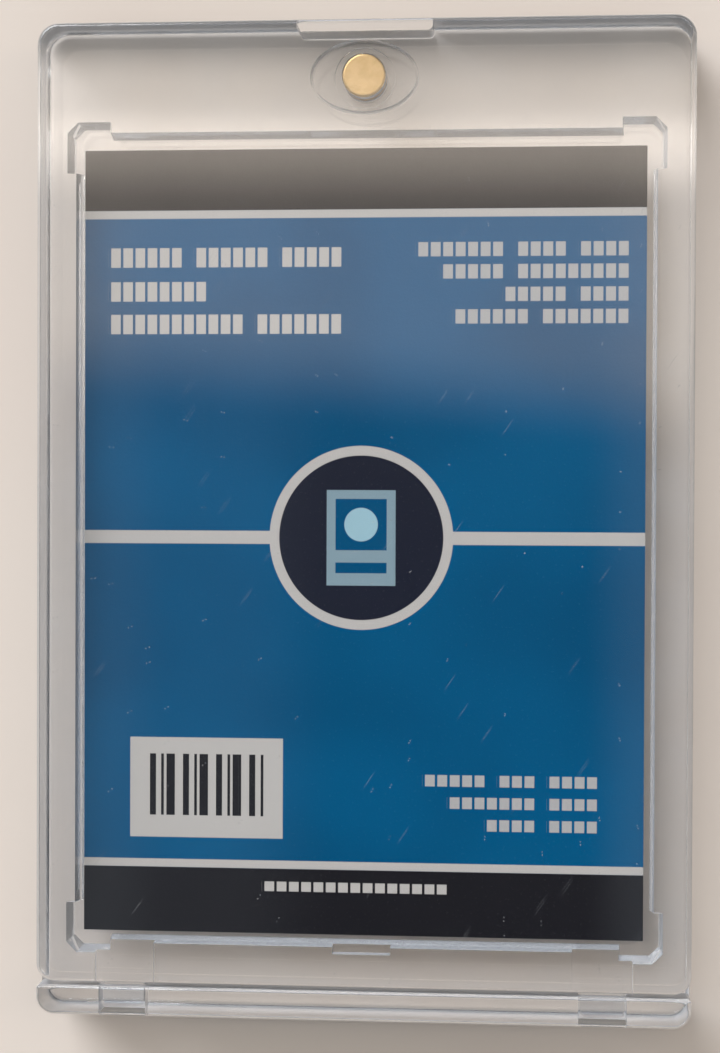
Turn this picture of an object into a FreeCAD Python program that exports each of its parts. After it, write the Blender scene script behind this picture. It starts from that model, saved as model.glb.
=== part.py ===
"""Two-piece clear card holder: a rear tray, a hooked front lid, two magnets and a printed insert.

The holder lies on its back. X runs across it, Y runs up the card towards the magnets and Z rises
from the back face to the front face. The origin is the middle of the back face. Lengths are in mm.
"""
import FreeCAD, Part
import Sketcher
import os

# Driving dimensions
SIZES = [
    ("card_width", 63.5),
    ("card_length", 88.9),
    ("card_thickness", 0.4),
    ("side_gap", 0.72),               # well wall to a centred card, on each side, at the well's mouth
    ("card_lift", 0.8),               # well's lower wall to the card
    ("card_headroom", 1.5),           # card to the well's upper wall
    ("card_shift", 0.3),              # the card lies this far left of the middle
    ("side_rim", 4.03),               # well wall to the holder's side
    ("bottom_rim", 7.8),              # foot end to the well's lower wall
    ("top_rim", 12.0),                # well's upper wall to the magnet end
    ("rear_floor", 3.0),              # clear panel behind the card
    ("well_depth", 3.35),             # rear shell's share of the room for a thick card
    ("wall_draft", 5.0),              # degrees that the well's walls lean outwards
    ("air_film", 0.05),               # thin air between faces that rest on each other
    ("lid_thickness", 3.1),           # clear panel in front of the card
    ("corner_radius", 2.4),           # plan corners at the magnet end
    ("lid_corner_radius", 2.0),       # plan corners of the lid beside the foot
    ("foot_corner_radius", 2.0),      # plan corners at the foot end
    ("foot_shoulder_radius", 0.5),    # plan corners of the foot beside the lid
    ("rear_edge_radius", 0.5),        # round along the back face and the foot
    ("lid_edge_radius", 0.6),         # round along the front face
    ("foot_depth", 3.3),              # full-height bar below the lid
    ("foot_gap", 0.4),                # lid to foot
    ("relief_across", 4.9),           # corner relief, its leg along X
    ("relief_along", 5.7),            # corner relief, its leg along Y
    ("relief_side", 1.0),             # how far the relief goes past the side wall
    ("relief_end", 1.2),              # how far it goes past the end wall
    ("relief_bevel", 1.2),            # slanted outer corner of the relief
    ("tab_spacing", 53.7),            # between the middles of the two tabs
    ("tab_width", 4.9),
    ("tab_length", 2.8),
    ("tab_thickness", 1.5),
    ("tab_round", 0.6),               # plan corners at the tab's tip
    ("tab_clearance", 0.2),           # round the tab, and below its path as the lid swings
    ("pocket_clearance", 0.9),        # each side of the tab, in the rim's recess that it swings into
    ("vent_width", 6.5),              # shallow notch in the middle of the lower wall
    ("vent_depth", 0.8),
    ("vent_height", 1.3),
    ("thumb_width", 15.2),            # nail notch in the rear shell's magnet end
    ("thumb_depth", 0.95),
    ("thumb_radius", 0.6),
    ("magnet_diameter", 4.8),
    ("magnet_thickness", 2.0),
    ("magnet_round", 0.25),
    ("magnet_fit", 0.05),             # glue film round a magnet, on the radius and at its end
    ("glue_ring_width", 1.0),         # shallow step round the rear magnet
    ("glue_ring_depth", 0.4),
    ("boss_ends", 3.45),              # oval boss under the lid: from the magnet out to its ends
    ("boss_sides", 1.5),              # and to its sides
    ("boss_height", 1.2),
    ("boss_clearance", 0.2),          # boss to its recess, all round and below
]

# Heights and lines that several pieces share, as expressions of the sheet
WELL_WIDTH = "(Sizes.card_width + 2 * Sizes.side_gap)"
WELL_LENGTH = "(Sizes.card_lift + Sizes.card_length + Sizes.card_headroom)"
HALF_WIDTH = f"({WELL_WIDTH} / 2 + Sizes.side_rim)"
TOP_END = f"((Sizes.bottom_rim + {WELL_LENGTH} + Sizes.top_rim) / 2)"
BOTTOM_END = f"(-{TOP_END})"
PARTING = "(Sizes.rear_floor + Sizes.well_depth)"
LID_FACE = f"({PARTING} + Sizes.air_film)"
FRONT_FACE = f"({LID_FACE} + Sizes.lid_thickness)"
FOOT_TOP = f"({BOTTOM_END} + Sizes.foot_depth)"
LID_BOTTOM = f"({FOOT_TOP} + Sizes.foot_gap)"
WELL_LOW = f"({BOTTOM_END} + Sizes.bottom_rim)"
WELL_HIGH = f"({WELL_LOW} + {WELL_LENGTH})"
WELL_SIDE = f"({WELL_WIDTH} / 2)"
MAGNET_Y = f"({TOP_END} - Sizes.top_rim / 2)"
BORE_DIAMETER = "(Sizes.magnet_diameter + 2 * Sizes.magnet_fit)"
BOSS_LENGTH = "(Sizes.magnet_diameter + 2 * Sizes.boss_ends)"
BOSS_WIDTH = "(Sizes.magnet_diameter + 2 * Sizes.boss_sides)"
SLOT_WIDTH = "(Sizes.tab_width + 2 * Sizes.tab_clearance)"
POCKET_WIDTH = "(Sizes.tab_width + 2 * Sizes.pocket_clearance)"
# The tab's tip sweeps a circle about the lid's lower front edge, and the slot's floor lies below it.
SLOT_FLOOR = (f"({FRONT_FACE} - sqrt(Sizes.lid_thickness * Sizes.lid_thickness"
              " + Sizes.tab_length * Sizes.tab_length) - Sizes.tab_clearance)")
SLOT_ROOF = f"({LID_FACE} + Sizes.tab_thickness + Sizes.tab_clearance)"
BOSS_FACE = f"({LID_FACE} - Sizes.boss_height)"
RECESS_FLOOR = f"({BOSS_FACE} - Sizes.boss_clearance)"
BORE_DEPTH = "(Sizes.magnet_thickness + Sizes.magnet_fit)"

NEAR = 1e-3     # two lengths closer than this are the same
RUN_ON = 1.0    # how far an outline runs on into open air, or into its own shell

doc = FreeCAD.newDocument("card_holder")
sheet = doc.addObject("Spreadsheet::Sheet", "Sizes")
for row, (alias, value) in enumerate(SIZES, start=1):
    sheet.set(f"A{row}", alias)
    sheet.set(f"B{row}", str(value))
    sheet.setAlias(f"B{row}", alias)
doc.recompute()


def size(alias):
    return float(sheet.get(alias))


def new_body(label):
    body = doc.addObject("PartDesign::Body", label)
    body.Label = label
    body.Placement = FreeCAD.Placement()
    return body


def new_sketch(body, name, plane, offset):
    """A sketch on one of the body's own planes, moved along that plane's normal."""
    sketch = body.newObject("Sketcher::SketchObject", name)
    for feature in body.Origin.OriginFeatures:
        if feature.Role == plane:
            sketch.AttachmentSupport = [(feature, "")]
    sketch.MapMode = "FlatFace"
    sketch.setExpression("AttachmentOffset.Base.z", offset)
    return sketch


def tie(sketch, kind, geometry, point, expression):
    """Hold one coordinate of a point at an expression, measured from the sketch's origin."""
    index = sketch.addConstraint(Sketcher.Constraint(kind, -1, 1, geometry, point, 1.0))
    sketch.setExpression(f"Constraints[{index}]", expression)


def draw_outline(sketch, corners):
    """A closed outline of straight lines through corners given as pairs of expressions.

    The lines start round a circle, and the ties then carry each corner to its own place."""
    count = len(corners)
    first = sketch.GeometryCount
    ring = [FreeCAD.Rotation(FreeCAD.Vector(0, 0, 1), 360.0 * i / count).multVec(FreeCAD.Vector(10, 0, 0))
            for i in range(count)]
    for i in range(count):
        sketch.addGeometry(Part.LineSegment(ring[i], ring[(i + 1) % count]), False)
    for i in range(count):
        following = first + (i + 1) % count
        sketch.addConstraint(Sketcher.Constraint("Coincident", first + i, 2, following, 1))
    for i, (x, y) in enumerate(corners):
        tie(sketch, "DistanceX", first + i, 1, x)
        tie(sketch, "DistanceY", first + i, 1, y)


def draw_rectangle(sketch, left, right, low, high):
    draw_outline(sketch, [(left, low), (right, low), (right, high), (left, high)])


def draw_circle(sketch, y, diameter):
    """A circle on the middle line."""
    circle = sketch.addGeometry(Part.Circle(FreeCAD.Vector(0, 10, 0), FreeCAD.Vector(0, 0, 1), 2.0), False)
    sketch.addConstraint(Sketcher.Constraint("PointOnObject", circle, 3, -2))
    tie(sketch, "DistanceY", circle, 3, y)
    index = sketch.addConstraint(Sketcher.Constraint("Diameter", circle, 4.0))
    sketch.setExpression(f"Constraints[{index}]", diameter)


def draw_oval(sketch, y, long_axis, short_axis):
    """An ellipse on the middle line, its long axis along X."""
    corner, side = FreeCAD.Vector(6, 10, 0), FreeCAD.Vector(0, 14, 0)
    oval = sketch.addGeometry(Part.Ellipse(corner, side, FreeCAD.Vector(0, 10, 0)), False)
    sketch.exposeInternalGeometry(oval)
    major, minor = oval + 1, oval + 2
    sketch.addConstraint(Sketcher.Constraint("Horizontal", major))
    sketch.addConstraint(Sketcher.Constraint("PointOnObject", oval, 3, -2))
    tie(sketch, "DistanceY", oval, 3, y)
    for line, length in ((major, long_axis), (minor, short_axis)):
        index = sketch.addConstraint(Sketcher.Constraint("Distance", line, 8.0))
        sketch.setExpression(f"Constraints[{index}]", length)


def pad(body, sketch, name, length, downward=False):
    feature = body.newObject("PartDesign::Pad", name)
    feature.Profile = sketch
    feature.Reversed = downward
    feature.setExpression("Length", length)
    doc.recompute()
    return feature


def pocket(body, sketch, name, depth):
    """Cut a sketch against its plane's normal, and see that it took something away."""
    before = body.Shape.Volume
    feature = body.newObject("PartDesign::Pocket", name)
    feature.Profile = sketch
    feature.setExpression("Length", depth)
    doc.recompute()
    assert body.Shape.Volume < before - NEAR, f"{name} cut nothing"
    return feature


def draft(cut):
    """Lean a pocket's walls outwards, so that it narrows with depth as a moulding core does."""
    cut.setExpression("TaperAngle", "-Sizes.wall_draft")
    doc.recompute()


def round_edges(body, name, radius, wanted):
    """Round every edge of the body that the test picks."""
    base = body.Tip
    edges = [f"Edge{i}" for i, edge in enumerate(base.Shape.Edges, start=1) if wanted(edge)]
    assert edges, f"{name} found no edge"
    feature = body.newObject("PartDesign::Fillet", name)
    feature.Base = (base, edges)
    feature.setExpression("Radius", radius)
    doc.recompute()
    return feature


def upright(edge):
    box = edge.BoundBox
    return box.ZLength > NEAR and box.XLength < NEAR and box.YLength < NEAR


def upright_at(x, y):
    """A test for upright edges at plus or minus x, and at y."""
    return lambda edge: (upright(edge) and abs(abs(edge.BoundBox.XMin) - x) < NEAR
                         and abs(edge.BoundBox.YMin - y) < NEAR)


def level_at(z):
    """A test for edges that lie flat at height z."""
    return lambda edge: abs(edge.BoundBox.ZMin - z) < NEAR and abs(edge.BoundBox.ZMax - z) < NEAR


def tab_edge(side, direction, width):
    """X of one edge of a tab, slot or pocket: side picks the tab, direction the edge."""
    return f"{side} * Sizes.tab_spacing / 2 + {direction} * {width} / 2"


well_length = size("card_lift") + size("card_length") + size("card_headroom")
half_width = size("card_width") / 2 + size("side_gap") + size("side_rim")
half_length = (size("bottom_rim") + well_length + size("top_rim")) / 2
parting = size("rear_floor") + size("well_depth")
front_face = parting + size("air_film") + size("lid_thickness")
foot_top = -half_length + size("foot_depth")
lid_bottom = foot_top + size("foot_gap")


def make_rear_shell():
    body = new_body("rear_shell")

    # Tray block and the full-height foot across its lower end
    sketch = new_sketch(body, "TrayOutline", "XY_Plane", "0")
    draw_rectangle(sketch, f"-{HALF_WIDTH}", HALF_WIDTH, BOTTOM_END, TOP_END)
    pad(body, sketch, "Tray", PARTING)
    sketch = new_sketch(body, "FootOutline", "XY_Plane", "0")
    draw_rectangle(sketch, f"-{HALF_WIDTH}", HALF_WIDTH, BOTTOM_END, FOOT_TOP)
    pad(body, sketch, "Foot", FRONT_FACE)
    round_edges(body, "TopCorners", "Sizes.corner_radius", upright_at(half_width, half_length))
    round_edges(body, "FootCorners", "Sizes.foot_corner_radius", upright_at(half_width, -half_length))
    round_edges(body, "FootShoulders", "Sizes.foot_shoulder_radius", upright_at(half_width, foot_top))
    round_edges(body, "BackEdge", "Sizes.rear_edge_radius", level_at(0))
    round_edges(body, "FootEdge", "Sizes.rear_edge_radius", level_at(front_face))

    # Card well, with a bevelled relief at each corner
    sketch = new_sketch(body, "WellOutline", "XY_Plane", PARTING)
    draw_rectangle(sketch, f"-{WELL_SIDE}", WELL_SIDE, WELL_LOW, WELL_HIGH)
    draft(pocket(body, sketch, "Well", "Sizes.well_depth"))
    sketch = new_sketch(body, "ReliefOutlines", "XY_Plane", PARTING)
    for side in (-1, 1):
        for end, wall in ((-1, WELL_LOW), (1, WELL_HIGH)):
            outer_x = f"{side} * ({WELL_SIDE} + Sizes.relief_side)"
            bevel_x = f"{side} * ({WELL_SIDE} + Sizes.relief_side - Sizes.relief_bevel)"
            inner_x = f"{side} * ({WELL_SIDE} + Sizes.relief_side - Sizes.relief_across)"
            outer_y = f"{wall} + {end} * Sizes.relief_end"
            bevel_y = f"{wall} + {end} * (Sizes.relief_end - Sizes.relief_bevel)"
            inner_y = f"{wall} + {end} * (Sizes.relief_end - Sizes.relief_along)"
            draw_outline(sketch, [(inner_x, inner_y), (outer_x, inner_y), (outer_x, bevel_y),
                                  (bevel_x, outer_y), (inner_x, outer_y)])
    draft(pocket(body, sketch, "Reliefs", "Sizes.well_depth"))

    # Nail notch through the magnet end, with rounded inner corners
    sketch = new_sketch(body, "ThumbOutline", "XY_Plane", PARTING)
    notch_floor = f"{TOP_END} - Sizes.thumb_depth"
    draw_rectangle(sketch, "-Sizes.thumb_width / 2", "Sizes.thumb_width / 2",
                   notch_floor, f"{TOP_END} + {RUN_ON}")
    pocket(body, sketch, "ThumbNotch", PARTING)
    round_edges(body, "ThumbCorners", "Sizes.thumb_radius",
                upright_at(size("thumb_width") / 2, half_length - size("thumb_depth")))

    # Oval recess for the lid's boss, and the stepped bore for the rear magnet
    sketch = new_sketch(body, "RecessOutline", "XY_Plane", PARTING)
    draw_oval(sketch, MAGNET_Y, f"{BOSS_LENGTH} + 2 * Sizes.boss_clearance",
              f"{BOSS_WIDTH} + 2 * Sizes.boss_clearance")
    pocket(body, sketch, "Recess", f"{PARTING} - {RECESS_FLOOR}")
    sketch = new_sketch(body, "GlueRingOutline", "XY_Plane", RECESS_FLOOR)
    draw_circle(sketch, MAGNET_Y, "Sizes.magnet_diameter + 2 * Sizes.glue_ring_width")
    pocket(body, sketch, "GlueRing", "Sizes.glue_ring_depth")
    sketch = new_sketch(body, "BoreOutline", "XY_Plane", RECESS_FLOOR)
    draw_circle(sketch, MAGNET_Y, BORE_DIAMETER)
    pocket(body, sketch, "Bore", BORE_DEPTH)

    # Pockets in the lower rim, open to the well, that the tabs swing down into
    sketch = new_sketch(body, "PocketOutlines", "XY_Plane", PARTING)
    for side in (-1, 1):
        draw_rectangle(sketch, tab_edge(side, -1, POCKET_WIDTH), tab_edge(side, 1, POCKET_WIDTH),
                       FOOT_TOP, f"{WELL_LOW} + {RUN_ON}")
    pocket(body, sketch, "TabPockets", f"{PARTING} - {SLOT_FLOOR}")

    # Slots through the foot for the tabs
    sketch = new_sketch(body, "SlotOutlines", "XZ_Plane", TOP_END)
    for side in (-1, 1):
        draw_rectangle(sketch, tab_edge(side, -1, SLOT_WIDTH), tab_edge(side, 1, SLOT_WIDTH),
                       SLOT_FLOOR, SLOT_ROOF)
    pocket(body, sketch, "TabSlots", "Sizes.foot_depth")

    # Shallow notch in the middle of the well's lower wall
    sketch = new_sketch(body, "VentOutline", "XY_Plane", PARTING)
    draw_rectangle(sketch, "-Sizes.vent_width / 2", "Sizes.vent_width / 2",
                   f"{WELL_LOW} - Sizes.vent_depth", f"{WELL_LOW} + {RUN_ON}")
    pocket(body, sketch, "Vent", "Sizes.vent_height")
    return body


def make_front_shell():
    body = new_body("front_shell")

    # Flat lid, its lower edge just clear of the foot
    sketch = new_sketch(body, "LidOutline", "XY_Plane", LID_FACE)
    draw_rectangle(sketch, f"-{HALF_WIDTH}", HALF_WIDTH, LID_BOTTOM, TOP_END)
    pad(body, sketch, "Lid", "Sizes.lid_thickness")
    round_edges(body, "TopCorners", "Sizes.corner_radius", upright_at(half_width, half_length))
    round_edges(body, "LowCorners", "Sizes.lid_corner_radius", upright_at(half_width, lid_bottom))
    round_edges(body, "FrontEdge", "Sizes.lid_edge_radius", level_at(front_face))

    # Two tabs that hook into the foot
    sketch = new_sketch(body, "TabOutlines", "XY_Plane", LID_FACE)
    for side in (-1, 1):
        draw_rectangle(sketch, tab_edge(side, -1, "Sizes.tab_width"), tab_edge(side, 1, "Sizes.tab_width"),
                       f"{LID_BOTTOM} - Sizes.tab_length", f"{LID_BOTTOM} + {RUN_ON}")
    pad(body, sketch, "Tabs", "Sizes.tab_thickness")
    tip = lid_bottom - size("tab_length")
    round_edges(body, "TabTips", "Sizes.tab_round",
                lambda edge: upright(edge) and abs(edge.BoundBox.YMin - tip) < NEAR)

    # Oval boss that drops into the rear shell's recess, bored for the front magnet
    sketch = new_sketch(body, "BossOutline", "XY_Plane", LID_FACE)
    draw_oval(sketch, MAGNET_Y, BOSS_LENGTH, BOSS_WIDTH)
    pad(body, sketch, "Boss", "Sizes.boss_height", downward=True)
    sketch = new_sketch(body, "BoreOutline", "XY_Plane", f"{BOSS_FACE} + {BORE_DEPTH}")
    draw_circle(sketch, MAGNET_Y, BORE_DIAMETER)
    pocket(body, sketch, "Bore", BORE_DEPTH)
    return body


def make_magnet(label, low_face):
    """A plated disc with softened rims, its lower face at the given height."""
    body = new_body(label)
    sketch = new_sketch(body, "DiscOutline", "XY_Plane", low_face)
    draw_circle(sketch, MAGNET_Y, "Sizes.magnet_diameter")
    pad(body, sketch, "Disc", "Sizes.magnet_thickness")
    round_edges(body, "Rims", "Sizes.magnet_round", lambda edge: edge.BoundBox.ZLength < NEAR)
    return body


def make_card_insert():
    body = new_body("card_insert")
    sketch = new_sketch(body, "CardOutline", "XY_Plane", "Sizes.rear_floor + Sizes.air_film")
    low = f"{WELL_LOW} + Sizes.card_lift"
    draw_rectangle(sketch, "-Sizes.card_width / 2 - Sizes.card_shift",
                   "Sizes.card_width / 2 - Sizes.card_shift", low, f"{low} + Sizes.card_length")
    pad(body, sketch, "Card", "Sizes.card_thickness")
    return body


pieces = [
    make_rear_shell(),
    make_front_shell(),
    make_magnet("rear_magnet", f"{RECESS_FLOOR} - Sizes.magnet_thickness"),
    make_magnet("front_magnet", BOSS_FACE),
    make_card_insert(),
]
doc.recompute()

for item in doc.Objects:
    assert not {"Invalid", "Error"} & set(item.State), f"{item.Name} failed: {item.State}"
for piece in pieces:
    assert not piece.Shape.isNull() and piece.Shape.isValid(), f"{piece.Label} is not a sound solid"

os.makedirs("parts", exist_ok=True)
for piece in pieces:
    piece.Shape.exportStep(f"parts/{piece.Label}.step")
    box = piece.Shape.optimalBoundingBox()
    print(f"{piece.Label}: {len(piece.Shape.Solids)} solid, {piece.Shape.Volume:.1f} mm3, "
          f"x {box.XMin:.2f} to {box.XMax:.2f}, y {box.YMin:.2f} to {box.YMax:.2f}, "
          f"z {box.ZMin:.2f} to {box.ZMax:.2f}")
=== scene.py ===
# %% [markdown]
# A clear two-piece card holder lies on its back on a pale table, seen from straight above. All its
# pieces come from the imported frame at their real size, so this lesson adds no shape. It gives the
# pieces their finishes: clear plastic, a printed card and gold-plated magnets. The table, the light
# and the camera come with them, because a clear thing is seen mostly by what is round it.

import math

import bpy
from mathutils import Euler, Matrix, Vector


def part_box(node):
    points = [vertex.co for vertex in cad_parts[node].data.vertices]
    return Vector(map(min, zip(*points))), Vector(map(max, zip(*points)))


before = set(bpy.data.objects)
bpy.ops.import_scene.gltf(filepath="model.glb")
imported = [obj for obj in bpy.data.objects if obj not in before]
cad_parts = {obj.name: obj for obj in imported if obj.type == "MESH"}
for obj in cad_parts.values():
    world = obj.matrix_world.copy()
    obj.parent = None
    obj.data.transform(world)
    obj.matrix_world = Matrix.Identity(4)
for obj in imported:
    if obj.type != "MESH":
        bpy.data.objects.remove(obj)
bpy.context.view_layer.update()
MM = 0.001
card_low, card_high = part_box("card_insert")
print("card", [round(v / MM, 1) for v in card_high - card_low], "mm")

# %% [markdown]
# The photograph was taken by hand from about a quarter of a metre above the table, a little to
# the right of the holder and turned back towards it. A camera that near shows the foot and the
# side walls in perspective, so its distance matters as much as its direction. The lens is given
# for Blender's 36 mm sensor, which here is the long side of the picture. The place is in
# millimetres and the turns are in degrees.

# %% Camera
SENSOR = 36.0
LENS = 70.66
NEAREST_SEEN = 0.01
CAMERA_PLACE = (18.54, 2.78, 237.13)
CAMERA_TURNS = (-0.815, 4.687, 0.22)


def make_camera():
    data = bpy.data.cameras.new("table_camera")
    camera = bpy.data.objects.new("table_camera", data)
    bpy.context.scene.collection.objects.link(camera)
    data.sensor_width = SENSOR
    data.lens = LENS
    data.clip_start = NEAREST_SEEN
    data.dof.use_dof = False
    camera.location = Vector(CAMERA_PLACE) * MM
    camera.rotation_euler = Euler([math.radians(turn) for turn in CAMERA_TURNS], "XYZ")
    bpy.context.scene.camera = camera
    return camera


camera = make_camera()
print("camera", round(camera.location.z, 3), "m above the table")

# %% [markdown]
# A shader's patterns are sums: a line is where a distance is small, a disc is where a radius is
# small. Wrapping a node's socket in a small class lets those sums be written as plain Python, and
# every operator adds the Math node that it stands for.


# %% Shader maths
class Wire:
    """A node's output, with operators that add Math nodes."""

    def __init__(self, tree, socket):
        self.tree = tree
        self.socket = socket

    def add(self, kind, settings=None, **inputs):
        """Add any node. Inputs are given by name, or as in_0, in_1 by place."""
        node = self.tree.nodes.new(kind)
        for name, value in (settings or {}).items():
            setattr(node, name, value)
        for name, value in inputs.items():
            key = int(name[3:]) if name.startswith("in_") else name.replace("_", " ")
            if isinstance(value, Wire):
                self.tree.links.new(value.socket, node.inputs[key])
            else:
                node.inputs[key].default_value = value
        return node

    def out(self, node, name=0):
        return Wire(self.tree, node.outputs[name])

    def maths(self, operation, other=0.0, third=0.0):
        settings = {"operation": operation}
        return self.out(self.add("ShaderNodeMath", settings, in_0=self, in_1=other, in_2=third))

    def __add__(self, other):
        return self.maths("ADD", other)

    def __sub__(self, other):
        return self.maths("SUBTRACT", other)

    def __rsub__(self, other):
        return self.maths("MULTIPLY_ADD", -1.0, other)

    def __mul__(self, other):
        return self.maths("MULTIPLY", other)

    def __pow__(self, other):
        return self.maths("POWER", other)

    def __abs__(self):
        return self.maths("ABSOLUTE")

    __radd__ = __add__
    __rmul__ = __mul__

    def most(self, other):
        return self.maths("MAXIMUM", other)

    def above(self, other):
        """1 where this is more than other, and 0 elsewhere."""
        return self.maths("GREATER_THAN", other)

    def remainder(self, other):
        return self.maths("FLOORED_MODULO", other)

    def rise(self, start, end):
        """0 at start, 1 at end, smooth between. Start may be the larger."""
        low = min(start, end)
        high = max(start, end)
        settings = {"interpolation_type": "SMOOTHSTEP"}
        node = self.add("ShaderNodeMapRange", settings, Value=self, From_Min=low, From_Max=high)
        step = self.out(node)
        return step if start <= end else 1.0 - step


print("operators ready: + - * ** abs")

# %% [markdown]
# Every finish starts the same way: an empty material that knows its place on the piece, and ends
# with a shader at its output. The object's own coordinates come in metres, and patterns are easier
# to write in millimetres, so they are scaled once at the start. The direction that a face points in
# tells a panel from a wall.


# %% Helpers: a material, its places and its surface
def new_material(name):
    """A material with an empty tree, and the piece's own coordinates in millimetres."""
    material = bpy.data.materials.new(name)
    material.use_nodes = True
    tree = material.node_tree
    tree.nodes.clear()
    places = tree.nodes.new("ShaderNodeTexCoord")
    metres = Wire(tree, places.outputs["Object"])
    scaled = metres.add("ShaderNodeVectorMath", {"operation": "SCALE"}, in_0=metres, Scale=1 / MM)
    return material, metres.out(scaled)


def set_surface(material, shader):
    """End the material's tree with a shader."""
    output = material.node_tree.nodes.new("ShaderNodeOutputMaterial")
    material.node_tree.links.new(shader.socket, output.inputs["Surface"])


def split(place):
    parts = place.add("ShaderNodeSeparateXYZ", in_0=place)
    return place.out(parts, 0), place.out(parts, 1), place.out(parts, 2)


def facing(place):
    """The three parts of the direction that the face points in."""
    shape = place.add("ShaderNodeNewGeometry")
    return split(place.out(shape, "True Normal"))


print("one millimetre is", MM, "m, and places are multiplied by", round(1 / MM))

# %% [markdown]
# The shells are clear moulded plastic, so most of what is seen is light bent at their edges. The
# Principled shader's transmission does that. Lamps can't shine through bent glass without a lot of
# noise, so rays that carry light to the table and the card meet a plain see-through shader
# instead. The flat panels let all of that light by. The outer end walls stop it and a side wall
# takes about a third, which gives the holder its shadow. The end walls of the card's well let it
# by, because the photograph shows no shadow beside them.

# %% Clear plastic: the light that goes past
PANEL_LETS_BY = (1.0, 1.0, 1.0, 1.0)
WALL_LETS_BY = (0.0, 0.0, 0.0, 1.0)
SIDE_WALL_SHARE = 0.35
OUTER_ENDS = 50.0


def see_through(place, tint):
    return place.out(place.add("ShaderNodeBsdfTransparent", Color=tint))


def blend_shader(share, below, above):
    return share.out(share.add("ShaderNodeMixShader", in_0=share, in_1=below, in_2=above))


def let_light_by(place, surface):
    """Stand a see-through shader in for a clear one, for the rays that carry light past it."""
    rays = place.add("ShaderNodeLightPath")
    passing = place.out(rays, "Is Shadow Ray").most(place.out(rays, "Is Diffuse Ray"))
    along_holder = split(place)[1]
    sideways, lengthways = facing(place)[:2]
    wall = abs(sideways) * SIDE_WALL_SHARE + abs(lengthways) * abs(along_holder).above(OUTER_ENDS)
    panel = blend_shader(passing, surface, see_through(place, PANEL_LETS_BY))
    return blend_shader(passing * wall, panel, see_through(place, WALL_LETS_BY))


print("end walls past", OUTER_ENDS, "mm stop light, side walls take", SIDE_WALL_SHARE)

# %% [markdown]
# The panels are polished. The walls between them look milky and a little blue from the light that
# clear plastic bends at its edges, and a second, matt shader paints that light on as a pale coat.
# It is mixed in by how upright a face stands, so the bevels get some of it too. The same shader,
# used in a few small marks, makes the real wear on the lid. The rear shell stays clean, with only
# the faint cloudiness of a moulded panel.

# %% Clear plastic: the finish of the rear shell
PLASTIC_INDEX = 1.49
PLASTIC_TINT = (0.965, 0.98, 1.0, 1.0)
# Painted light on the upright walls and the real wear of the lid's marks share one pale matt shader.
HAZE_AND_WALL_LIGHT = (0.76, 0.81, 0.88, 1.0)
HAZE_AND_WALL_LIGHT_ROUGHNESS = 0.5
PAINTED_WALL_LIGHT = 0.3
CLOUD_SCALE = 0.15
CLOUD_RANGE = (0.4, 0.8)
CLOUD_HAZE = 0.02


def principled(place, **inputs):
    return place.out(place.add("ShaderNodeBsdfPrincipled", **inputs))


def noise(place, scale, detail, dimensions="3D"):
    settings = {"noise_dimensions": dimensions}
    return place.out(place.add("ShaderNodeTexNoise", settings, Vector=place, Scale=scale,
                               Detail=detail))


def clear_shader(place, marks):
    """Clear plastic with painted light on its upright walls, and real wear wherever marks is above
    0.
    """
    clear = principled(place, Base_Color=PLASTIC_TINT, Roughness=0.0, IOR=PLASTIC_INDEX,
                       Transmission_Weight=1.0)
    haze_and_wall_light = principled(place, Base_Color=HAZE_AND_WALL_LIGHT, Roughness=HAZE_AND_WALL_LIGHT_ROUGHNESS)
    up = facing(place)[2]
    # Painted light: a pale matt coat on upright faces stands in for the light bent at the edges.
    walls = (1.0 - abs(up)) * PAINTED_WALL_LIGHT
    return blend_shader(walls.most(marks), clear, haze_and_wall_light)


def clear_plastic():
    material, place = new_material("clear_plastic")
    cloud = noise(place, CLOUD_SCALE, 0.0, "2D").rise(*CLOUD_RANGE)
    set_surface(material, let_light_by(place, clear_shader(place, cloud * CLOUD_HAZE)))
    return material


plastic = clear_plastic()
print("made", plastic.name)

# %% [markdown]
# The lid is handled, so it carries fine scratches and dust. Both are marks in the cells of a
# scattered pattern, kept in only a few of the cells. A dust speck is the middle of its cell. For a
# scratch the same pattern is turned and stretched, which draws each round middle out to a thin
# line. The Mapping node's texture setting turns first and stretches after, so the lines lean. A
# mark's core is the share of its size over which it is full, and it fades from there to its edge.

# %% Worn clear plastic
SCRATCH_LEAN = -0.6
SCRATCH_HALF_LENGTH = 1.5
SCRATCH_HALF_WIDTH = 0.05
SCRATCH_SPACING = 12.0
SCRATCH_CORE = 0.3
SCRATCH_HAZE = 0.07
SCRATCHED_CELLS = (0.93, 0.94)
SCRATCH_START = (3.0, 3.0, 0.0)
DUST_SPACING = 2.1
DUST_SIZE = 0.11
DUST_CORE = 0.4
DUST_HAZE = 0.2
DUSTY_CELLS = (0.92, 0.94)
DUST_START = (5.0, 5.0, 5.0)


def marks_in_cells(place, spacing, size, core, kept):
    """A soft dot in the middle of each kept cell of a scattered pattern."""
    cells = place.add("ShaderNodeTexVoronoi", {"voronoi_dimensions": "2D"}, Vector=place,
                      Scale=1 / spacing)
    dot = place.out(cells, "Distance").rise(size / spacing, core * size / spacing)
    tone = place.add("ShaderNodeSeparateColor", in_0=place.out(cells, "Color"))
    return dot * place.out(tone, 0).rise(*kept)


def scratches(place):
    turned = place.add("ShaderNodeMapping", {"vector_type": "TEXTURE"}, in_0=place,
                       Rotation=(0, 0, SCRATCH_LEAN), Location=SCRATCH_START,
                       Scale=(SCRATCH_HALF_WIDTH, SCRATCH_HALF_LENGTH, 1))
    return marks_in_cells(place.out(turned), SCRATCH_SPACING, 1.0, SCRATCH_CORE, SCRATCHED_CELLS)


def dust(place):
    moved = place.add("ShaderNodeMapping", in_0=place, Location=DUST_START)
    return marks_in_cells(place.out(moved), DUST_SPACING, DUST_SIZE, DUST_CORE, DUSTY_CELLS)


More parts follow.
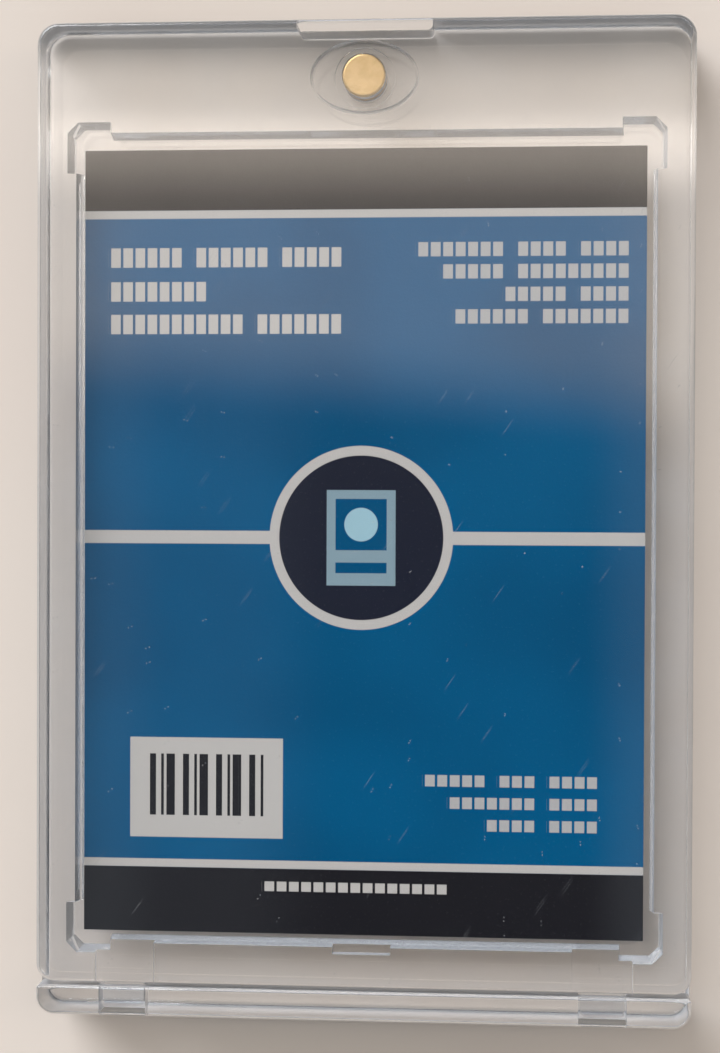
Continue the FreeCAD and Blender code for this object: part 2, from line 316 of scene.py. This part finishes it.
def worn_plastic():
    material, place = new_material("worn_clear_plastic")
    marks = (scratches(place) * SCRATCH_HAZE).most(dust(place) * DUST_HAZE)
    set_surface(material, let_light_by(place, clear_shader(place, marks)))
    return material


worn = worn_plastic()
print("made", worn.name)

# %% [markdown]
# The magnets are small plated discs. Their plating is soft gold with a faint grain, and it is a
# true metal, so its colour belongs in the Base Color with Metallic at one. A broader noise stains
# it a little, and a fine one varies its gloss and lifts its surface.

# %% Gold plating
GOLD = (0.66, 0.46, 0.22, 1.0)
STAINED_GOLD = (0.58, 0.39, 0.17, 1.0)
STAIN_SCALE = 0.9
STAIN_RANGE = (0.4, 0.65)
GRAIN_SCALE = 6.0
GRAIN_RELIEF = 0.4
GOLD_SMOOTHEST = 0.3
GOLD_ROUGHENING = 0.25
RELIEF_HEIGHT = 0.05 * MM


def blend_colour(below, above, mask):
    """Lay one colour over another by a mask. Colours are wires or four numbers."""
    node = mask.add("ShaderNodeMix", {"data_type": "RGBA"}, in_0=mask, in_6=below, in_7=above)
    return mask.out(node, 2)


def relief(place, height, strength):
    """The normals of a surface that a pattern lifts a little."""
    return place.out(place.add("ShaderNodeBump", Strength=strength, Distance=RELIEF_HEIGHT,
                               Height=height))


def gold_plating():
    material, place = new_material("gold_plating")
    grain = noise(place, GRAIN_SCALE, 4.0)
    stain = noise(place, STAIN_SCALE, 2.0).rise(*STAIN_RANGE)
    metal = principled(place, Base_Color=blend_colour(GOLD, STAINED_GOLD, stain), Metallic=1.0,
                       Roughness=GOLD_SMOOTHEST + GOLD_ROUGHENING * grain,
                       Normal=relief(place, grain, GRAIN_RELIEF))
    set_surface(material, metal)
    return material


gold = gold_plating()
print("made", gold.name)

# %% [markdown]
# The insert is a printed card: dark bands at both ends, a blue field between them and pale lines
# that divide it. Rows of plain blocks, a round badge with a picture of a card and a pale label
# with even stripes lie on the field. All places are in millimetres, across from the card's left
# edge and down from its upper edge. A row of blocks is written as the place of its outer end, its
# top, its height and the lengths of its groups in turn.

# %% Printed card: sizes of the print
card_width = (card_high.x - card_low.x) / MM
card_length = (card_high.y - card_low.y) / MM
TOP_BAND = 6.86
BOTTOM_BAND = 7.37
DIVIDER = 0.92
MIDDLE_LINE = 43.9
MIDDLE_LINE_HEIGHT = 1.48
BLUR = 0.05
TITLE_ROWS = ((2.7, 11.1, 2.2, (8.4, 8.4, 7.0)),
              (2.7, 14.95, 2.2, (11.2,)),
              (2.7, 18.65, 2.2, (15.4, 9.8)))
SIDE_ROWS = ((61.5, 10.6, 1.6, (9.8, 5.6, 5.6)),
             (61.5, 13.1, 1.6, (7.0, 12.6)),
             (61.5, 15.65, 1.6, (7.0, 5.6)),
             (61.5, 18.15, 1.6, (8.4, 9.8)))
LOWER_ROWS = ((58.3, 70.6, 1.3, (7.0, 4.2, 5.6)),
              (58.3, 73.1, 1.3, (9.8, 5.6)),
              (58.3, 75.6, 1.3, (5.6, 5.6)))
FOOT_ROWS = ((20.5, 83.0, 1.1, (21.0,)),)
GROUP_GAP = 1.4
BLOCK_PITCH = 1.4
BLOCK_GAP = 0.3
print("card", round(card_width, 1), "by", round(card_length, 1), "mm")

# %% [markdown]
# Every edge of the print comes from one small pattern, a stripe with edges as soft as ink's. Stripes
# laid over each other by their larger value make a row, and one stripe times another makes a bar.
# The narrow gaps that cut the bars come from the remainder of the place across, so one pattern cuts
# all the rows that start at the same place.


# %% Printed card: blocks in rows
def stripe(value, low, high):
    """1 between low and high, with a soft edge."""
    return value.rise(low - BLUR, low + BLUR) * value.rise(high + BLUR, high - BLUR)


def block_rows(across, down, rows, from_right=False):
    """Rows of blocks. Each row is built from its left end, or back from its right end, as one bar
    for each group, and all the bars are cut into blocks by narrow gaps."""
    shift = rows[0][0]
    blocks = (across - shift).remainder(BLOCK_PITCH).rise(BLOCK_GAP - BLUR, BLOCK_GAP + BLUR)
    mask = 0.0
    for start, top, height, lengths in rows:
        row = 0.0
        for length in reversed(lengths) if from_right else lengths:
            left = start - length if from_right else start
            row = stripe(across, left, left + length).most(row)
            start = left - GROUP_GAP if from_right else left + length + GROUP_GAP
        mask = (row * stripe(down, top, top + height)).most(mask)
    return mask * blocks


print("rows of blocks", len(TITLE_ROWS + SIDE_ROWS + LOWER_ROWS + FOOT_ROWS))

# %% [markdown]
# The label's stripes are two even rows laid over each other, a wide one and a thin one. Each comes
# from the remainder of the place across. The badge is a stack of discs and upright oblongs, given
# by their distances from its middle, and every oblong is one stripe times another.

# %% Printed card: label and badge
LABEL = (5.33, 22.85, 66.73, 78.12)
STRIPED_PART = (7.3, 20.7, 68.6, 75.6)
WIDE_PITCH = 1.9
WIDE_EDGE = (0.75, 0.65)
THIN_PITCH = 1.27
THIN_EDGE = (0.35, 0.27)
BADGE_OFF_MIDDLE = -0.1
BADGE_RADIUS = 10.4
BADGE_DARK_RADIUS = 9.3
PICTURE = (-3.9, 3.9, -5.4, 5.4)
PICTURE_WINDOW = (-2.9, 2.9, -4.4, 1.4)
PICTURE_FOOT = (-2.9, 2.9, 2.8, 4.0)
SPOT_UP = -1.5
SPOT_RADIUS = 1.9


def oblong(across, down, left, right, top, bottom):
    return stripe(across, left, right) * stripe(down, top, bottom)


def disc(across, down, radius):
    distance = (across ** 2.0 + down ** 2.0) ** 0.5
    return distance.rise(radius + BLUR, radius - BLUR)


def striped_label(across, down):
    """The pale label and its dark stripes, as two masks."""
    wide = across.remainder(WIDE_PITCH).rise(*WIDE_EDGE)
    thin = across.remainder(THIN_PITCH).rise(*THIN_EDGE)
    stripes = wide.most(thin) * oblong(across, down, *STRIPED_PART)
    return oblong(across, down, *LABEL), stripes


def round_badge(across, down):
    """A pale disc, a dark disc, an upright card, its blue window and foot, and a pale spot."""
    right = across - (card_width / 2 + BADGE_OFF_MIDDLE)
    below = down - MIDDLE_LINE
    window = oblong(right, below, *PICTURE_WINDOW).most(oblong(right, below, *PICTURE_FOOT))
    return (disc(right, below, BADGE_RADIUS), disc(right, below, BADGE_DARK_RADIUS),
            oblong(right, below, *PICTURE), window, disc(right, below - SPOT_UP, SPOT_RADIUS))


print("badge", 2 * BADGE_RADIUS, "mm across, label", round(LABEL[1] - LABEL[0], 1), "mm wide")

# %% [markdown]
# The print is laid on in the order of the real one: the fields first, then the lines and blocks,
# then the label and the badge. The blue is a little uneven, as on the real card. Only the upper
# face is printed. The edges and the underside stay plain pale board, which shows at the edges
# through the clear plastic. Inks are written as a picture's numbers from 0 to 255. A shader works
# with amounts of light, so a small function makes those numbers linear.


# %% Printed card: colours
def colour(red, green, blue):
    """A colour given as the 0 to 255 numbers of a picture, made linear for the shader."""
    def linear(value):
        share = value / 255.0
        return share / 12.92 if share <= 0.04045 else ((share + 0.055) / 1.055) ** 2.4
    return (linear(red), linear(green), linear(blue), 1.0)


WHITE_INK = colour(182, 180, 178)
BLACK_INK = colour(30, 30, 35)
FIELD_BLUE = colour(0, 84, 128)
DEEP_BLUE = colour(0, 75, 116)
BADGE_DARK = colour(30, 34, 48)
BADGE_GREY = colour(128, 152, 164)
BADGE_PALE = colour(150, 186, 200)
BARE_BOARD = colour(205, 204, 202)
print("blue ink as light", [round(v, 3) for v in FIELD_BLUE[:3]])

# %% Printed card: ink on the card
PATCH_SCALE = 0.04
PATCH_RANGE = (0.35, 0.7)
SIDE_ROW_STRENGTH = 0.85
FACE_DEPTH = 0.02


def fields(place, down):
    """The uneven blue, and the dark band at each end."""
    patches = noise(place, PATCH_SCALE, 1.0, "2D").rise(*PATCH_RANGE)
    blue = blend_colour(FIELD_BLUE, DEEP_BLUE, patches)
    lower = card_length - BOTTOM_BAND
    bands = down.rise(TOP_BAND + BLUR, TOP_BAND - BLUR).most(down.rise(lower - BLUR, lower + BLUR))
    return blend_colour(blue, BLACK_INK, bands)


def pale_print(across, down):
    """The dividing lines and all the blocks, as one mask."""
    lower = card_length - BOTTOM_BAND
    half = MIDDLE_LINE_HEIGHT / 2
    lines = stripe(down, TOP_BAND, TOP_BAND + DIVIDER).most(stripe(down, lower - DIVIDER, lower))
    lines = lines.most(stripe(down, MIDDLE_LINE - half, MIDDLE_LINE + half))
    left = block_rows(across, down, TITLE_ROWS).most(block_rows(across, down, FOOT_ROWS))
    right = block_rows(across, down, SIDE_ROWS, from_right=True)
    right = right.most(block_rows(across, down, LOWER_ROWS, from_right=True))
    return lines.most(left).most(right * SIDE_ROW_STRENGTH)


def print_ink(place):
    """The printed face's colour, with bare board on the edges and the underside."""
    x, y, z = split(place)
    across = x - card_low.x / MM
    down = card_high.y / MM - y
    ink = blend_colour(fields(place, down), WHITE_INK, pale_print(across, down))
    label, stripes = striped_label(across, down)
    pale, dark, picture, window, spot = round_badge(across, down)
    layers = ((WHITE_INK, label), (BLACK_INK, stripes), (WHITE_INK, pale), (BADGE_DARK, dark),
              (BADGE_GREY, picture), (DEEP_BLUE, window), (BADGE_PALE, spot))
    for tint, mask in layers:
        ink = blend_colour(ink, tint, mask)
    return blend_colour(BARE_BOARD, ink, z.above(card_high.z / MM - FACE_DEPTH))


print("ink lies on the uppermost", FACE_DEPTH, "mm of the card")

# %% [markdown]
# The card's varnish is smooth but not a mirror, with a very faint paper grain that varies its gloss
# and its relief. It shines less than bare plastic would, because the lid already mirrors the room
# in front of it.

# %% Printed card: the finished material
PAPER_SCALE = 3.0
PAPER_RELIEF = 0.15
VARNISH_SMOOTHEST = 0.2
VARNISH_ROUGHENING = 0.1
VARNISH_SHINE = 0.15


def printed_card():
    material, place = new_material("printed_card")
    paper = noise(place, PAPER_SCALE, 1.0, "2D")
    varnish = principled(place, Base_Color=print_ink(place), Specular_IOR_Level=VARNISH_SHINE,
                         Roughness=VARNISH_SMOOTHEST + VARNISH_ROUGHENING * paper,
                         Normal=relief(place, paper, PAPER_RELIEF))
    set_surface(material, varnish)
    return material


printed = printed_card()
print("made", printed.name, "with", len(printed.node_tree.nodes), "nodes")

# %% [markdown]
# The frame's pieces already have their shapes and ride on their bodies, so a finish is put on by
# filling the material slots of each. The lid and its magnet move together. The rear shell, its
# magnet and the card stay where they are.

# %% Give the frame's pieces their finishes
FINISHES = {"rear_shell": plastic, "front_shell": worn, "rear_magnet": gold,
            "front_magnet": gold, "card_insert": printed}

for node, material in FINISHES.items():
    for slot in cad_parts[node].material_slots:
        slot.material = material
    print(node, "is", material.name)

# %% [markdown]
# A clear thing shows what is under it, so the table is part of its look. It is a wide pale sheet
# just under the holder, matt, with a very broad unevenness in its tint.

# %% Table
TABLE_SIZE = 10.0
TABLE_DROP = -0.05 * MM
TABLE_TINTS = (colour(217, 209, 202), colour(215, 206, 199))
UNEVEN_SCALE = 0.02
UNEVEN_RANGE = (0.3, 0.7)
TABLE_ROUGHNESS = 0.8
TABLE_SHINE = 0.15


def table_top():
    material, place = new_material("table_top")
    uneven = noise(place, UNEVEN_SCALE, 3.0).rise(*UNEVEN_RANGE)
    top = principled(place, Base_Color=blend_colour(*TABLE_TINTS, uneven),
                     Roughness=TABLE_ROUGHNESS, Specular_IOR_Level=TABLE_SHINE)
    set_surface(material, top)
    return material


def make_table():
    bpy.ops.object.select_all(action="DESELECT")
    bpy.ops.mesh.primitive_plane_add(size=TABLE_SIZE, location=(0, 0, TABLE_DROP))
    table = bpy.context.object
    table.name = "table"
    table.data.materials.append(table_top())
    return table


table = make_table()
print("table", TABLE_SIZE, "m wide at", round(table.location.z / MM, 2), "mm")

# %% [markdown]
# The daylight comes low from a window past the magnet end and to the left. It is a Sun lamp, the
# same in strength all over the table, and its wide angle makes the soft shadow of a large window
# nearby. A weak soft lamp straight above fills that shadow. Clear plastic would show it as a
# bright square over the card, so it is hidden from mirrored and bent rays.

# %% Lamps
WINDOW_PLACE = (-1.2, 1.7, 1.0)
WINDOW_ANGLE = 45.0
WINDOW_STRENGTH = 3.85
WINDOW_TINT = (0.965, 0.98, 1.0)
SOFT_PLACE = (0.0, 0.0, 1.2)
SOFT_SIZE = 0.8
SOFT_POWER = 1.7
SOFT_TINT = (0.97, 0.99, 1.0)


def stand_lamp(data, place, tint):
    """Put a lamp in the scene, turned towards the holder."""
    data.color = tint
    lamp = bpy.data.objects.new(data.name, data)
    bpy.context.scene.collection.objects.link(lamp)
    lamp.location = place
    lamp.rotation_euler = (-Vector(place)).to_track_quat("-Z", "Y").to_euler()
    return lamp


def make_window():
    data = bpy.data.lights.new("window", "SUN")
    data.angle = math.radians(WINDOW_ANGLE)
    data.energy = WINDOW_STRENGTH
    return stand_lamp(data, WINDOW_PLACE, WINDOW_TINT)


def make_soft_lamp():
    data = bpy.data.lights.new("ceiling", "AREA")
    data.size = SOFT_SIZE
    data.energy = SOFT_POWER
    lamp = stand_lamp(data, SOFT_PLACE, SOFT_TINT)
    lamp.visible_glossy = False
    lamp.visible_transmission = False
    return lamp


lamps = [make_window(), make_soft_lamp()]
print("lamps", [lamp.name for lamp in lamps])

# %% [markdown]
# The lid mirrors the room, so the room gives the plastic its look. It is built in the world's
# strength, from the direction of each ray: x is its part to the right, y its part towards the
# magnet end and z its part upwards, each from -1 to 1. Straight above it is dark, where the camera
# hangs. Just past that, towards the magnet end, is the pale ceiling that the lid mirrors over the
# top of the card, with a brighter strip in it. Rays that are seen meet a pale backdrop near the
# horizon, so that a low view has no dark bands behind the holder. Each step is written as its
# strength, the part at which it starts and the part at which it is full.

# %% Room
ROOM_DARK = 0.004
CEILING_LEAN = 0.08
CEILING_START = (0.025, 0.075)
CEILING_STEPS = ((2.2, 0.136, 0.17), (-1.0, 0.17, 0.185), (-1.2, 0.192, 0.213), (-0.8, 0.25, 0.35))
SIDE_STEPS = ((0.13, -0.09, -0.14), (0.15, -0.17, -0.2), (0.27, 0.025, 0.055))
WALLS = (0.35, 0.2, 0.5)
BACK_WALL = (0.3, -0.3, -0.6)
COOL_TINT = (0.85, 0.93, 1.0, 1.0)
WARM_TINT = (1.0, 0.87, 0.74, 1.0)
WARM_START = (0.0, 0.05)
BACKDROP = 0.6
BACKDROP_TINT = (1.0, 0.96, 0.92, 1.0)
HORIZON = (0.5, 0.2)


def step_of(value, strength, start, full):
    return strength * value.rise(start, full)


def room_strength(x, y):
    """How bright the room is in each direction, and where the ceiling is warm."""
    along = y + CEILING_LEAN * x
    light = along.rise(*CEILING_START)
    for step in CEILING_STEPS:
        light = light + step_of(y, *step)
    for step in SIDE_STEPS:
        light = light + step_of(x, *step)
    light = light.most(step_of(abs(x), *WALLS)).most(step_of(y, *BACK_WALL))
    return ROOM_DARK + light, along.rise(*WARM_START)


def make_room():
    room = bpy.data.worlds.new("room")
    bpy.context.scene.world = room
    room.use_nodes = True
    tree = room.node_tree
    tree.nodes.clear()
    places = tree.nodes.new("ShaderNodeTexCoord")
    way = Wire(tree, places.outputs["Generated"])
    x, y, z = split(way)
    light, warm = room_strength(x, y)
    rays = way.add("ShaderNodeLightPath")
    seen = way.out(rays, "Is Camera Ray").most(way.out(rays, "Is Glossy Ray"))
    seen = seen.most(way.out(rays, "Is Transmission Ray"))
    backdrop = seen * z.rise(*HORIZON)
    tint = blend_colour(blend_colour(COOL_TINT, WARM_TINT, warm), BACKDROP_TINT, backdrop)
    glow = way.add("ShaderNodeBackground", Color=tint, Strength=light.most(backdrop * BACKDROP))
    output = tree.nodes.new("ShaderNodeOutputWorld")
    tree.links.new(glow.outputs[0], output.inputs["Surface"])
    return room


room = make_room()
bpy.context.scene.view_settings.view_transform = "Standard"
print("made", room.name, "with", len(room.node_tree.nodes), "nodes")
